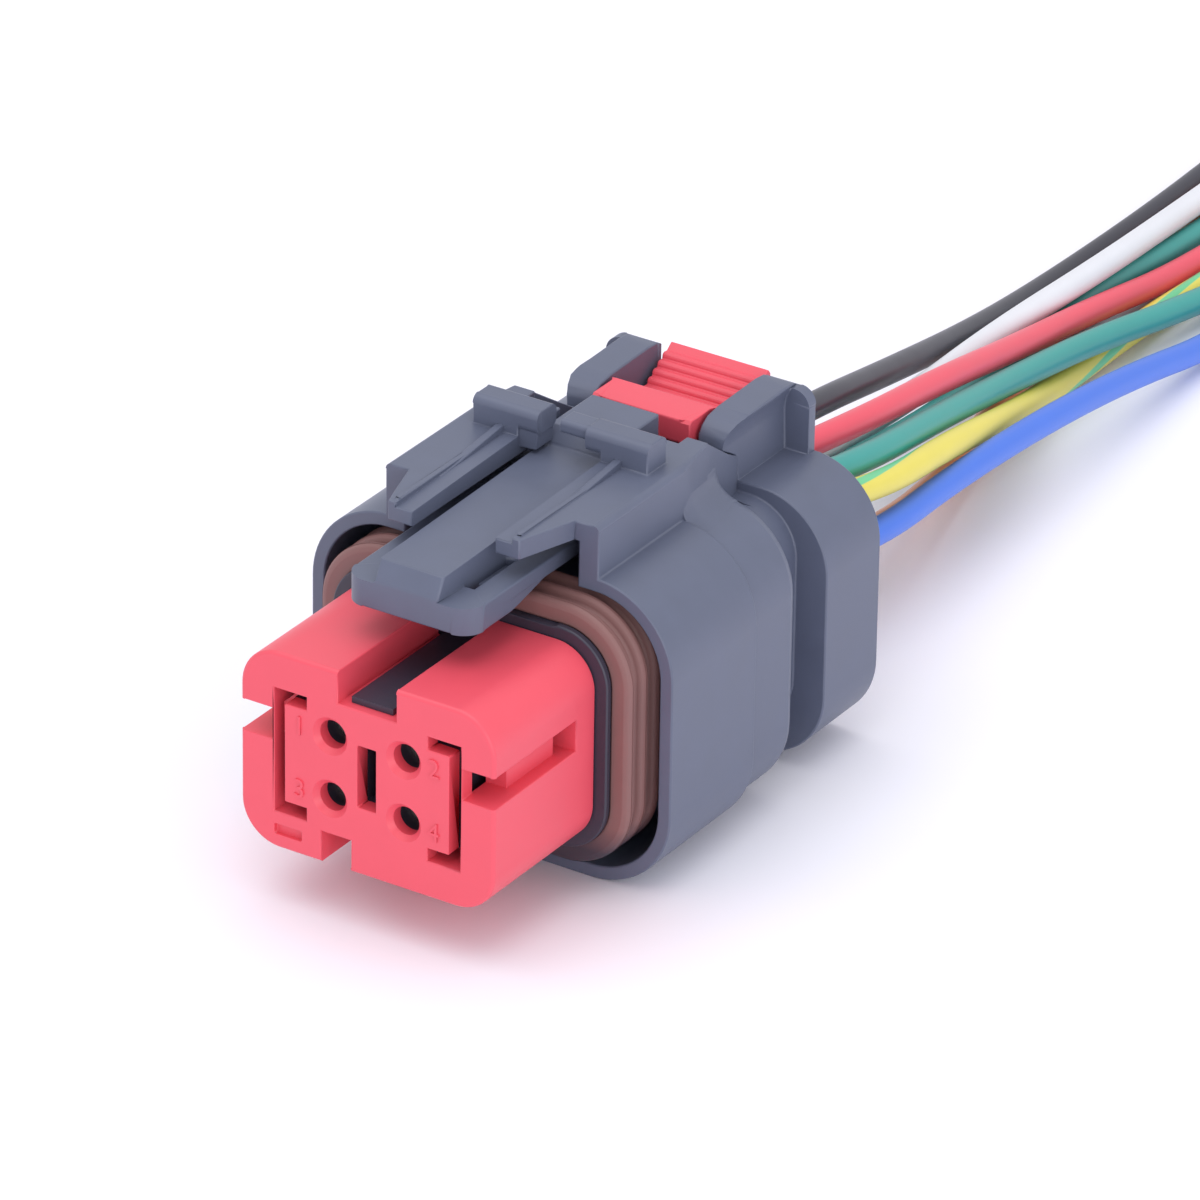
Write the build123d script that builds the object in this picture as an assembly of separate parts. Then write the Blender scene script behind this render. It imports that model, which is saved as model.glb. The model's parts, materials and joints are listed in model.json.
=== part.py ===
from build123d import *
from math import hypot, radians, tan
import os

# Sealed four-way plug for a car harness, with its eight leads.
# Millimetres. X runs across the mating face, Y from that face back along the
# plug to the leads, and Z up. Y is measured from the mating face while the
# pieces are made; place() at the end moves them to the middle of the plug.
# The plug rests on the bottom of its shroud, at Z 0.

# ---- driving dimensions ----------------------------------------------------
AXIS_Z = 15.15           # height of the core's axis
LENGTH = 56.9            # mating face to the rear of the position lock

# terminal positions
PITCH_X, PITCH_Z = 7.66, 6.14    # between the four entries
ENTRY_R = 1.35           # entry hole in the front lock
ENTRY_CONE_R = 1.82      # its lead-in
ENTRY_CONE = 0.5         # depth of the lead-in
CAVITY_R = 2.15          # terminal cavity in the core's nose
CAVITY_BACK = (6.0, 4.3)     # wider back of the cavity, width and height
CAVITY_STEP = 14.0       # where it widens

# front lock
LOCK_HALF_W, LOCK_HALF_H, LOCK_R = 13.2, 9.65, 4.0
LOCK_LEN = 15.8
LOCK_PLATE = 1.6         # front plate
LOCK_TRAVEL = 2.4        # out to its open position
KEY_HALF_W, KEY_FLOOR = 3.05, 21.65      # top keyway
SLOT_IN, SLOT_MID, SLOT_OUT = 6.3, 8.55, 9.7     # C-shaped slots, from the middle
SLOT_LOW, SLOT_HIGH, SLOT_T = 9.08, 21.28, 1.28
SLOT_DEPTH = 9.0
KEEL_X0, KEEL_X1, KEEL_H = -4.76, -1.62, 3.1     # notch in the bottom edge
CENTRE_HALF_W, CENTRE_HALF_H = 0.97, 3.05        # slot between the entries
SIDE_Z0, SIDE_Z1 = 16.15, 19.2   # side notch and groove
SIDE_IN = 9.85
SIDE_BACK = 4.0
GROOVE_DEPTH, GROOVE_BACK, POCKET_BACK = 1.4, 11.3, 12.9

# core
NOSE_HALF_W, NOSE_HALF_H, NOSE_R = 9.4, 5.95, 1.0
TONGUE_HALF_W, TONGUE_TOP, TONGUE_FRONT = 2.15, 22.3, 0.9
LIP_HALF_W, LIP_HALF_H, LIP_R = 14.4, 10.8, 5.0
LIP_T = 0.7
CORE_HALF_W, CORE_HALF_H, CORE_R = 14.2, 10.6, 4.8

# interface seal
SEAL_LEN = 5.6
SEAL_BASE, SEAL_RIB = 1.2, 2.1   # outside the core
RIB_T, RIB_PITCH, RIB_FIRST = 1.2, 2.1, 0.3

# shroud, mid body, neck and flange
SHROUD_HALF_W, SHROUD_H, SHROUD_R = 18.9, 29.6, 8.2
SHROUD_WALL = 1.3
SHROUD_FRONT, SHROUD_REAR, WEB_T = 19.3, 33.1, 2.1
MID_HALF_W, MID_Z0, MID_Z1, MID_R = 18.4, 0.45, 29.1, 8.0
MID_REAR, MID_EDGE = 41.0, 0.9
NECK_HALF_W, NECK_Z0, NECK_Z1, NECK_R = 14.6, 3.9, 26.0, 5.0
FLANGE_HALF_W, FLANGE_Z0, FLANGE_Z1, FLANGE_R = 17.9, 0.6, 27.0, 7.2
FLANGE_FRONT, FLANGE_REAR = 46.5, 55.6

# latch tunnel
TUNNEL_HALF_W, TUNNEL_WALL, TUNNEL_R = 11.1, 2.1, 0.6
ROOF_TOP, ROOF_UNDER = 34.65, 32.8
ROOF_SLOT_HALF = 4.3     # gap between the two roof halves
ROOF_TIP, ROOF_TIP_W, ROOF_NECK_W = 13.3, 6.8, 8.7
DECK_REAR, CHEEK_REAR, CHEEK_IN, CHEEK_OUT = 36.9, 38.4, 8.0, 10.2
RAIL_OUT, RAIL_FRONT_Z = 6.0, 34.2
RAIL_BEAD = 0.5          # raised line along the rail
BAR_Y0, BAR_Y1, BAR_TOP, BAR_UNDER, BAR_R = 30.0, 33.1, 37.4, 35.1, 0.8
LATCH_FLOOR = 27.6       # floor of the recess under the latch

# ears
EAR_IN, EAR_CREASE, EAR_SKIRT, EAR_FOOT = 5.6, 8.9, 8.2, 8.35
EAR_FRONT, EAR_UNDER, EAR_TOP = 44.0, 30.9, 33.4
EAR_WALL, EAR_WALL_X = 1.2, 10.8

# latch
PIVOT_Y, PIVOT_Z, PIVOT_R, PIVOT_IN = 27.0, 29.95, 0.9, 1.0
ARM_HALF_W, ARM_Z0, ARM_Z1 = 6.7, 29.2, 30.7
NOSE_FRONT, NOSE_PLATE_HALF_W, NOSE_PLATE_Z0, NOSE_PLATE_R = 6.0, 6.7, 28.1, 2.2
NOSE_PLATE_REAR = 12.5
BLOCK_HALF_W, BLOCK_TOP, RIB_TOP = 3.3, 32.8, 33.3
WINDOW_X0, WINDOW_X1, WINDOW_Y0, WINDOW_Y1 = 3.3, 4.35, 10.1, 16.6
THUMB_HALF_W, THUMB_TOP, THUMB_FRONT, THUMB_REAR = 3.55, 34.6, 33.8, 40.9
THUMB_UNDER = 28.9

# position lock
PAD_HALF_W, PAD_FRONT, PAD_REAR, PAD_TOP, PAD_UNDER = 4.65, 43.3, 47.2, 33.2, 30.9
RAMP_HALF_W, DECK_Z = 5.2, 30.0
RAMP_FOOT, RIDGES, RIDGE_PITCH, RIDGE_RISE = 51.7, 5, 0.82, 0.52
RUNNER_HALF_W, RUNNER_T = 6.4, 1.3
PLOCK_TRAVEL = 2.0

# rear pocket, wire seal and retainer
POCKET_HALF_W, POCKET_HALF_H, POCKET_R = 12.4, 9.05, 3.5
POCKET_FRONT = 40.0
MAT_T, MAT_RIB, MAT_RIB_T = 8.0, 0.35, 1.2
PLATE_FRONT, PLATE_T = 49.0, 4.8
LEAD_PITCH = 3.0         # between the two leads of one terminal

# leads
LEAD_D, CONDUCTOR_D, STRIPPED = 2.6, 1.1, 5.0
LEAD_START = 36.0

# contacts
SOCKET_R, SOCKET_BORE_R, SOCKET_BORE = 2.1, 1.15, 11.0
PASSAGE_R = ENTRY_R + 0.2    # core's passage between entry and socket
CONTACT_FRONT, BARREL_FRONT = 3.3, 27.0
BARREL = (5.7, 2.9)      # crimp barrel, width and height

# clearances
SLIDE = 0.05             # a sliding piece, each side
PIVOT_FIT = 0.05
SEAT = 0.02              # pieces that only seat against each other
LEAD_FIT = 0.12          # lead in the retainer

# Routes of the leads' centres, chosen by hand: across, back, up.
FLOOR = LEAD_D / 2 + 0.02
ROW_TOP, ROW_LOW = AXIS_Z + PITCH_Z / 2 + 0.02, AXIS_Z - PITCH_Z / 2 + 0.02
OUTER, INNER = (PITCH_X + LEAD_PITCH) / 2, (PITCH_X - LEAD_PITCH) / 2
LEADS = {
    "black": [(-OUTER, 58, ROW_TOP), (-4.7, 80, 16.9), (-8.6, 101, 10.9), (-12.9, 124, 4.6),
              (-15.3, 143, FLOOR), (-15.0, 163, FLOOR), (-15.7, 183, FLOOR), (-15.0, 200, FLOOR)],
    "red": [(-INNER, 58, ROW_TOP), (0.6, 79, 16.8), (-1.5, 99, 12.9), (-4.0, 117, 8.2),
            (-5.9, 135, 4.4), (-5.9, 153, FLOOR), (-5.0, 173, FLOOR), (-5.6, 193, FLOOR), (-5.4, 201, FLOOR)],
    "teal_b": [(INNER, 58, ROW_TOP), (4.9, 75, 17.0), (1.9, 93, 12.4), (-0.7, 110, 8.3),
               (-1.7, 128, 5.1), (-0.3, 144, 2.7), (1.4, 161, FLOOR), (1.2, 181, FLOOR), (0.5, 200, FLOOR)],
    "yellow_green": [(OUTER, 58, ROW_TOP), (8.9, 73, 15.8), (5.4, 89, 11.4), (0.9, 106, 6.5),
                     (-2.4, 123, 2.7), (-3.6, 141, FLOOR), (-2.2, 159, FLOOR), (-1.8, 179, FLOOR),
                     (-2.6, 198, FLOOR)],
    "white": [(-OUTER, 58, ROW_LOW), (-5.0, 79, 11.4), (-5.9, 100, 9.0), (-7.8, 120, 7.5),
              (-8.5, 141, 5.9), (-10.4, 161, 3.8), (-10.7, 181, 3.5), (-10.4, 202, 3.5)],
    "teal_a": [(-INNER, 58, ROW_LOW), (-2.6, 79, 10.4), (-3.6, 100, 7.4), (-6.6, 120, 4.6),
               (-9.2, 140, 3.3), (-9.0, 160, FLOOR), (-8.6, 180, FLOOR), (-9.0, 202, FLOOR)],
    "orange": [(INNER, 58, ROW_LOW), (2.0, 78, 8.8), (-0.9, 98, 3.9), (-6.2, 119, FLOOR),
               (-11.4, 140, FLOOR), (-12.3, 160, FLOOR), (-12.5, 180, FLOOR), (-12.2, 201, FLOOR)],
    "blue": [(OUTER, 58, ROW_LOW), (10.0, 73, 11.4), (6.3, 89, 7.8), (2.6, 108, 4.2),
             (0.9, 126, 1.7), (3.4, 141, FLOOR), (4.9, 158, FLOOR), (4.2, 178, FLOOR), (4.7, 197, FLOOR)],
}

SIDES = (-1, 1)
ENTRIES = [(sx * PITCH_X / 2, AXIS_Z + sz * PITCH_Z / 2) for sz in (1, -1) for sx in (-1, 1)]


# ---- shapes used again and again -------------------------------------------
def slab(x0, x1, y0, y1, z0, z1):
    """A box between two corners."""
    centre = Pos((x0 + x1) / 2, (y0 + y1) / 2, (z0 + z1) / 2)
    return centre * Box(abs(x1 - x0), abs(y1 - y0), abs(z1 - z0))


def facing(y, x=0, z=0):
    """A plane that looks back along Y, with X across and Z up."""
    return Plane((x, y, z), x_dir=(-1, 0, 0), z_dir=(0, 1, 0))


def drum(half_w, z0, z1, r, y0, y1):
    """A rounded rectangle seen from the front, run back from y0 to y1."""
    outline = RectangleRounded(2 * half_w, z1 - z0, r)
    return extrude(facing(y0, z=(z0 + z1) / 2) * outline, y1 - y0)


def ring(half_w, half_h, r, y0, y1):
    """A drum about the core's axis."""
    return drum(half_w, AXIS_Z - half_h, AXIS_Z + half_h, r, y0, y1)


def bore(x, z, r, y0, y1):
    return extrude(facing(y0, x, z) * Circle(r), y1 - y0)


def side_cut(x0, x1, outline):
    """A side profile, (y, z) points, run across from x0 to x1."""
    face = make_face(Polyline(*outline, close=True))
    return extrude(Plane.YZ.offset(x0) * face, x1 - x0)


def plan_cut(z0, z1, outline):
    """A plan, (x, y) points, run up from z0 to z1."""
    face = make_face(Polyline(*outline, close=True))
    return extrude(Plane.XY.offset(z0) * face, z1 - z0)


def at_y(part, y, grow=0.01):
    """The edges of a part that lie in the plane at y."""
    return part.edges().filter_by_position(Axis.Y, y - grow, y + grow)


def place(name, part):
    """Set a piece about the middle of the plug, and write it."""
    part = Pos(0, -LENGTH / 2, 0) * part
    os.makedirs("parts", exist_ok=True)
    export_step(part, f"parts/{name}.step")
    return part


# ---- plug housing ----------------------------------------------------------
def core():
    """Nose, tongue, collar lip and the body that carries the seal."""
    lip_y = LOCK_LEN + 0.1
    nose_y = LOCK_PLATE + SLIDE
    part = ring(CORE_HALF_W, CORE_HALF_H, CORE_R, lip_y, SHROUD_REAR)
    part += ring(LIP_HALF_W, LIP_HALF_H, LIP_R, lip_y, lip_y + LIP_T)
    part += ring(NOSE_HALF_W, NOSE_HALF_H, NOSE_R, nose_y, lip_y)
    part += slab(-TONGUE_HALF_W, TONGUE_HALF_W, nose_y, lip_y, AXIS_Z, TONGUE_TOP)
    part += slab(-TONGUE_HALF_W, TONGUE_HALF_W, TONGUE_FRONT, nose_y, KEY_FLOOR + SLIDE, TONGUE_TOP)
    for s in SIDES:
        part -= c_slot(s, nose_y, SLOT_DEPTH)
        stop = LOCK_NIB_X - SLIDE * 4
        part += slab(s * (NOSE_HALF_W - 0.5), s * stop, NIB_Y0, NIB_Y1, NIB_Z0, NIB_Z1)
    part -= slab(-CENTRE_HALF_W, CENTRE_HALF_W, nose_y, SLOT_DEPTH,
                 AXIS_Z - CENTRE_HALF_H, AXIS_Z + CENTRE_HALF_H)
    return part


# the nibs on the nose that keep the front lock on, in a slot behind its groove
LOCK_NIB_X = 10.8
NIB_Y0, NIB_Y1 = 8.8, 10.2
NIB_Z0, NIB_Z1 = SIDE_Z0 + 0.3, SIDE_Z1 - 0.3


def c_slot(side, y0, y1):
    """One C-shaped slot of the mating face."""
    inner, mid, outer = side * SLOT_IN, side * SLOT_MID, side * SLOT_OUT
    part = slab(mid, outer, y0, y1, SLOT_LOW, SLOT_HIGH)
    part += slab(inner, outer, y0, y1, SLOT_HIGH - SLOT_T, SLOT_HIGH)
    part += slab(inner, outer, y0, y1, SLOT_LOW, SLOT_LOW + SLOT_T)
    return part


def shell():
    """Shroud, web, mid body, neck and flange, still without the tunnel."""
    part = drum(SHROUD_HALF_W, 0, SHROUD_H, SHROUD_R, SHROUD_FRONT, SHROUD_REAR)
    part -= drum(SHROUD_HALF_W - SHROUD_WALL, SHROUD_WALL, SHROUD_H - SHROUD_WALL,
                 SHROUD_R - SHROUD_WALL, SHROUD_FRONT, SHROUD_REAR - WEB_T)
    mid = drum(MID_HALF_W, MID_Z0, MID_Z1, MID_R, SHROUD_REAR, MID_REAR)
    part += chamfer(at_y(mid, MID_REAR), MID_EDGE)
    part += drum(NECK_HALF_W, NECK_Z0, NECK_Z1, NECK_R, MID_REAR, FLANGE_FRONT)
    part += drum(FLANGE_HALF_W, FLANGE_Z0, FLANGE_Z1, FLANGE_R, FLANGE_FRONT, FLANGE_REAR)
    return part


def roof_plan(side):
    """Plan of one half of the tunnel, from the slot out to its wall."""
    points = [(ROOF_SLOT_HALF, ROOF_TIP), (ROOF_TIP_W, ROOF_TIP), (ROOF_NECK_W, SHROUD_FRONT),
              (TUNNEL_HALF_W, SHROUD_FRONT), (TUNNEL_HALF_W, SHROUD_REAR), (CHEEK_OUT, CHEEK_REAR),
              (CHEEK_IN, CHEEK_REAR), (CHEEK_IN, DECK_REAR), (ROOF_SLOT_HALF, DECK_REAR)]
    return [(side * x, y) for x, y in points]


def tunnel():
    """The two roof halves on their walls, with rails and crossbars."""
    base = SHROUD_H - SHROUD_WALL + 0.3
    section = facing(ROOF_TIP, z=(base + ROOF_TOP) / 2) * Rectangle(2 * TUNNEL_HALF_W, ROOF_TOP - base)
    tube = extrude(section, CHEEK_REAR - ROOF_TIP)
    top = tube.edges().filter_by(Axis.Y).group_by(Axis.Z)[-1]
    tube = fillet(top, TUNNEL_R)
    part = Part()
    for s in SIDES:
        half = tube & plan_cut(base - 1, ROOF_TOP + 1, roof_plan(s))
        half -= side_cut(min(s * ROOF_SLOT_HALF, s * RAIL_OUT), max(s * ROOF_SLOT_HALF, s * RAIL_OUT),
                         [(ROOF_TIP - 1, RAIL_FRONT_Z), (BAR_Y0, ROOF_TOP),
                          (BAR_Y0, ROOF_TOP + 1), (ROOF_TIP - 1, ROOF_TOP + 1)])
        bead = (s * RAIL_OUT, s * (RAIL_OUT + RAIL_BEAD))
        half += slab(*bead, ROOF_TIP + 0.8, BAR_Y0 + 0.5, ROOF_TOP - 0.3, ROOF_TOP + 0.15)
        part += half
    return part + crossbars()


def crossbars():
    """Two stubs of the bridge over the latch, with a gap between them."""
    section = RectangleRounded(BAR_Y1 - BAR_Y0, BAR_TOP - BAR_UNDER, BAR_R)
    mid_y, mid_z = (BAR_Y0 + BAR_Y1) / 2, (BAR_UNDER + BAR_TOP) / 2
    part = Part()
    for x0, x1, foot in ((-9.1, -2.3, -ROOF_SLOT_HALF), (2.7, 9.2, ROOF_SLOT_HALF)):
        part += extrude(Plane.YZ.offset(x0) * Pos(mid_y, mid_z) * section, x1 - x0)
        outer = x0 if x0 < 0 else x1
        part += slab(foot, outer, BAR_Y0, BAR_Y1, ROOF_TOP - 0.2, mid_z)
    slim = RectangleRounded(BAR_Y1 - BAR_Y0 - 0.7, 1.4, 0.5)
    part += extrude(Plane.YZ.offset(-0.1) * Pos(mid_y, BAR_TOP - 0.75) * slim, 3.3)
    return part


def ears():
    """The two horns that guard the position lock."""
    side = [(EAR_FRONT, EAR_UNDER), (EAR_FRONT + 0.1, 31.9), (EAR_FRONT + 0.6, 32.6),
            (EAR_FRONT + 1.5, 33.15), (EAR_FRONT + 3.3, EAR_TOP), (FLANGE_REAR - 2.2, EAR_TOP + 0.15),
            (FLANGE_REAR - 0.8, EAR_TOP), (FLANGE_REAR, EAR_TOP - 0.4), (FLANGE_REAR, FLANGE_Z1 - 1),
            (FLANGE_FRONT, FLANGE_Z1 - 1), (FLANGE_FRONT, FLANGE_Z1 + 1.2), (FLANGE_FRONT - 0.4, EAR_UNDER - 1.2)]
    part = Part()
    for s in SIDES:
        crease = (s * EAR_CREASE, EAR_TOP - 0.1)
        waist = (s * (EAR_CREASE - 0.55), EAR_UNDER + 1.1)
        skirt = (s * EAR_SKIRT, EAR_UNDER)
        foot = (s * EAR_FOOT, FLANGE_Z1 - 0.8)
        outline = Polyline((s * EAR_CREASE, EAR_TOP - 0.1), (s * EAR_CREASE, EAR_TOP + 1),
                           (s * EAR_IN, EAR_TOP + 1), (s * EAR_IN, FLANGE_Z1 - 0.8), foot, skirt)
        outline += ThreePointArc(skirt, waist, crease)
        section = Plane.XZ.offset(-EAR_FRONT + 1) * make_face(outline)
        horn = extrude(section, -(FLANGE_REAR - EAR_FRONT + 2))
        x0, x1 = sorted((s * EAR_IN, s * EAR_WALL_X))
        horn = horn & side_cut(x0, x1, side)
        wall = drum(EAR_WALL_X, FLANGE_Z1 - 3, EAR_TOP - 0.3, 1.6, FLANGE_REAR - EAR_WALL, FLANGE_REAR)
        wall -= slab(-s * 20, s * EAR_IN, 50, 60, 20, 40)
        part += horn + wall
    return part


def plug_housing():
    part = shell() + core() + tunnel() + ears()
    # room for the latch, from the open front of the tunnel to the back of the mid body
    inner = TUNNEL_HALF_W - TUNNEL_WALL
    core_top = AXIS_Z + CORE_HALF_H
    part -= slab(-inner, inner, SHROUD_FRONT - 8, SHROUD_REAR - WEB_T, core_top, ROOF_UNDER)
    part -= slab(-inner, inner, SHROUD_REAR - WEB_T - 0.1, MID_REAR + 1, LATCH_FLOOR, ROOF_UNDER)
    for s in SIDES:
        hole = Cylinder(PIVOT_R + PIVOT_FIT, 2 * (PIVOT_IN + 2 * PIVOT_FIT), rotation=(0, 90, 0))
        part -= Pos(s * inner, PIVOT_Y, PIVOT_Z) * hole
        # groove for the runner of the position lock
        part -= slab(s * (EAR_IN - 1), s * (RUNNER_HALF_W + SLIDE), FLANGE_FRONT - 4, FLANGE_REAR + 2,
                     FLANGE_Z1, FLANGE_Z1 + RUNNER_T + 2 * SLIDE)
    # terminal cavities and the rear pocket
    for x, z in ENTRIES:
        part -= bore(x, z, PASSAGE_R, LOCK_PLATE, CONTACT_FRONT)
        part -= bore(x, z, CAVITY_R, CONTACT_FRONT - SEAT, CAVITY_STEP)
        back = RectangleRounded(*CAVITY_BACK, 1.2)
        part -= extrude(facing(CAVITY_STEP - 0.1, x, z) * back, POCKET_FRONT - CAVITY_STEP + 1)
    part -= ring(POCKET_HALF_W, POCKET_HALF_H, POCKET_R, POCKET_FRONT, FLANGE_REAR)
    return part


# ---- the pieces that go on and in it ---------------------------------------
def front_lock():
    part = ring(LOCK_HALF_W, LOCK_HALF_H, LOCK_R, 0, LOCK_LEN)
    part = fillet(at_y(part, 0), 0.4)
    part -= slab(-NOSE_HALF_W - SLIDE, NOSE_HALF_W + SLIDE, LOCK_PLATE, LOCK_LEN,
                 AXIS_Z - NOSE_HALF_H - SLIDE, AXIS_Z + NOSE_HALF_H + SLIDE)
    # keyway, with the slit that the tongue stands in
    part -= slab(-KEY_HALF_W, KEY_HALF_W, 0, LOCK_LEN, KEY_FLOOR, AXIS_Z + LOCK_HALF_H)
    tongue = TONGUE_HALF_W + SLIDE
    part -= slab(-tongue, tongue, LOCK_PLATE, LOCK_LEN, AXIS_Z, KEY_FLOOR)
    part -= slab(KEEL_X0, KEEL_X1, 0, LOCK_LEN, AXIS_Z - LOCK_HALF_H, AXIS_Z - LOCK_HALF_H + KEEL_H)
    part -= slab(-CENTRE_HALF_W, CENTRE_HALF_W, 0, LOCK_PLATE,
                 AXIS_Z - CENTRE_HALF_H, AXIS_Z + CENTRE_HALF_H)
    part -= slab(-9.7, -6.82, 0, 0.5, 6.85, 7.9)
    for s in SIDES:
        part -= c_slot(s, 0, SLOT_DEPTH)
        edge = s * LOCK_HALF_W
        floor = s * (LOCK_HALF_W - GROOVE_DEPTH)
        part -= slab(s * SIDE_IN, edge, 0, SIDE_BACK, SIDE_Z0, SIDE_Z1)
        part -= slab(s * NOSE_HALF_W, edge, LOCK_PLATE, SIDE_BACK, SIDE_Z0, SIDE_Z1)
        part -= slab(floor, edge, SIDE_BACK, POCKET_BACK, SIDE_Z0, SIDE_Z1)
        part -= slab(s * NOSE_HALF_W, edge, GROOVE_BACK, POCKET_BACK, SIDE_Z0, SIDE_Z1)
        # slot that runs over the nib
        part -= slab(s * NOSE_HALF_W, s * LOCK_NIB_X, NIB_Y0 - 0.2, NIB_Y1 + LOCK_TRAVEL + 0.2,
                     SIDE_Z0, SIDE_Z1)
    for x, z in ENTRIES:
        part -= bore(x, z, ENTRY_R, 0, LOCK_PLATE)
        cone = Cone(ENTRY_CONE_R, ENTRY_R, ENTRY_CONE, rotation=(-90, 0, 0))
        part -= Pos(x, ENTRY_CONE / 2, z) * cone
    return part


def interface_seal():
    y0 = LOCK_LEN + 0.1 + LIP_T + SEAT
    part = ring(CORE_HALF_W + SEAL_BASE, CORE_HALF_H + SEAL_BASE, CORE_R + SEAL_BASE, y0, y0 + SEAL_LEN)
    for i in range(3):
        rib_y = y0 + RIB_FIRST + i * RIB_PITCH - 0.3
        rib = ring(CORE_HALF_W + SEAL_RIB, CORE_HALF_H + SEAL_RIB, CORE_R + SEAL_RIB, rib_y, rib_y + RIB_T)
        edges = at_y(rib, rib_y) + at_y(rib, rib_y + RIB_T)
        part += chamfer(edges, 0.45)
    part -= ring(CORE_HALF_W + SEAT, CORE_HALF_H + SEAT, CORE_R + SEAT, y0 - 1, y0 + SEAL_LEN + 1)
    return part


def latch_arm():
    part = slab(-ARM_HALF_W, ARM_HALF_W, NOSE_PLATE_REAR - 1, THUMB_FRONT + 1, ARM_Z0, ARM_Z1)
    plate = RectangleRounded(2 * NOSE_PLATE_HALF_W, NOSE_PLATE_REAR - NOSE_FRONT + 4, NOSE_PLATE_R)
    nose = extrude(Plane.XY.offset(NOSE_PLATE_Z0) * plate, ARM_Z1 - NOSE_PLATE_Z0)
    nose = Pos(0, (NOSE_FRONT + NOSE_PLATE_REAR + 4) / 2, 0) * nose
    nose &= slab(-10, 10, NOSE_FRONT, NOSE_PLATE_REAR, 20, 40)
    part += nose
    rib = [(NOSE_FRONT, ARM_Z0), (NOSE_FRONT, ARM_Z1 + 0.4), (NOSE_FRONT + 0.9, BLOCK_TOP),
           (THUMB_FRONT, RIB_TOP), (THUMB_FRONT, ARM_Z0)]
    part += side_cut(-BLOCK_HALF_W, BLOCK_HALF_W, rib)
    thumb = [(THUMB_FRONT - 1, ARM_Z0), (THUMB_FRONT - 1, RIB_TOP), (THUMB_FRONT, THUMB_TOP - 0.3),
             (THUMB_FRONT + 0.3, THUMB_TOP), (THUMB_REAR, THUMB_TOP), (THUMB_REAR, THUMB_UNDER),
             (THUMB_FRONT + 2, THUMB_UNDER)]
    part += side_cut(-THUMB_HALF_W, THUMB_HALF_W, thumb)
    for s in SIDES:
        part -= slab(s * WINDOW_X0, s * WINDOW_X1, WINDOW_Y0, WINDOW_Y1, 20, 40)
        inner = TUNNEL_HALF_W - TUNNEL_WALL + PIVOT_IN
        reach = inner - ARM_HALF_W + 1
        pin = Cylinder(PIVOT_R, reach, rotation=(0, 90, 0))
        part += Pos(s * (inner - reach / 2), PIVOT_Y, PIVOT_Z) * pin
    part -= slab(-20, 20, NOSE_PLATE_REAR, SHROUD_FRONT + 3, 20, ARM_Z0)
    return part


def position_lock():
    """Pad, deck and ridged ramp on a runner that slides in the ears' grooves."""
    runner_z = FLANGE_Z1 + SLIDE
    profile = [(PAD_FRONT, PAD_UNDER), (PAD_FRONT, PAD_TOP - 0.3), (PAD_FRONT + 0.3, PAD_TOP),
               (PAD_REAR, PAD_TOP), (PAD_REAR, DECK_Z), (RAMP_FOOT, DECK_Z)]
    z = DECK_Z + 0.16
    for i in range(RIDGES):
        y = RAMP_FOOT + i * RIDGE_PITCH
        profile += [(y + 0.05, z), (y + 0.35, z + 0.25), (y + RIDGE_PITCH, z + 0.2)]
        z += RIDGE_RISE
    profile += [(LENGTH - 0.35, z + 0.25), (LENGTH, z - 0.2), (LENGTH, runner_z),
                (FLANGE_FRONT, runner_z), (FLANGE_FRONT, PAD_UNDER - 0.6), (FLANGE_FRONT - 0.8, PAD_UNDER)]
    part = side_cut(-RAMP_HALF_W, RAMP_HALF_W, profile)
    pad = slab(-PAD_HALF_W, PAD_HALF_W, PAD_FRONT, PAD_REAR, PAD_UNDER, PAD_TOP)
    corners = pad.edges().filter_by(Axis.Z).group_by(Axis.Y)[0]
    part += fillet(corners, 0.6)
    part += slab(-RUNNER_HALF_W, RUNNER_HALF_W, FLANGE_FRONT + 0.1, FLANGE_REAR, runner_z, runner_z + RUNNER_T)
    return part


def lead_holes(part, y0, y1, clearance):
    for x, z in ENTRIES:
        for s in SIDES:
            z_lead = ROW_TOP if z > AXIS_Z else ROW_LOW
            part -= bore(x + s * LEAD_PITCH / 2, z_lead, LEAD_D / 2 + clearance, y0, y1)
    return part


def wire_seal():
    y0 = POCKET_FRONT + SEAT
    inset = MAT_RIB + SEAT
    part = ring(POCKET_HALF_W - inset, POCKET_HALF_H - inset, POCKET_R - inset, y0, y0 + MAT_T)
    for i in range(2):
        rib_y = y0 + 1.5 + i * (MAT_T - 3 - MAT_RIB_T)
        part += ring(POCKET_HALF_W - SEAT, POCKET_HALF_H - SEAT, POCKET_R - SEAT, rib_y, rib_y + MAT_RIB_T)
    return lead_holes(part, y0 - 1, y0 + MAT_T + 1, SEAT)


def seal_retainer():
    part = ring(POCKET_HALF_W - SLIDE, POCKET_HALF_H - SLIDE, POCKET_R - SLIDE, PLATE_FRONT, PLATE_FRONT + PLATE_T)
    part = chamfer(at_y(part, PLATE_FRONT + PLATE_T), 0.4)
    return lead_holes(part, PLATE_FRONT - 1, PLATE_FRONT + PLATE_T + 1, LEAD_FIT)


def contact(x, z):
    """Socket contact, with a crimp barrel wide enough for its two leads."""
    z_lead = ROW_TOP if z > AXIS_Z else ROW_LOW
    part = bore(x, z, SOCKET_R, CONTACT_FRONT, BARREL_FRONT)
    part -= bore(x, z, SOCKET_BORE_R, CONTACT_FRONT - 1, CONTACT_FRONT + SOCKET_BORE)
    barrel = RectangleRounded(*BARREL, 1.2)
    part += extrude(facing(BARREL_FRONT - 1, x, z_lead) * barrel, LEAD_START - BARREL_FRONT + 1)
    return part


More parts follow.
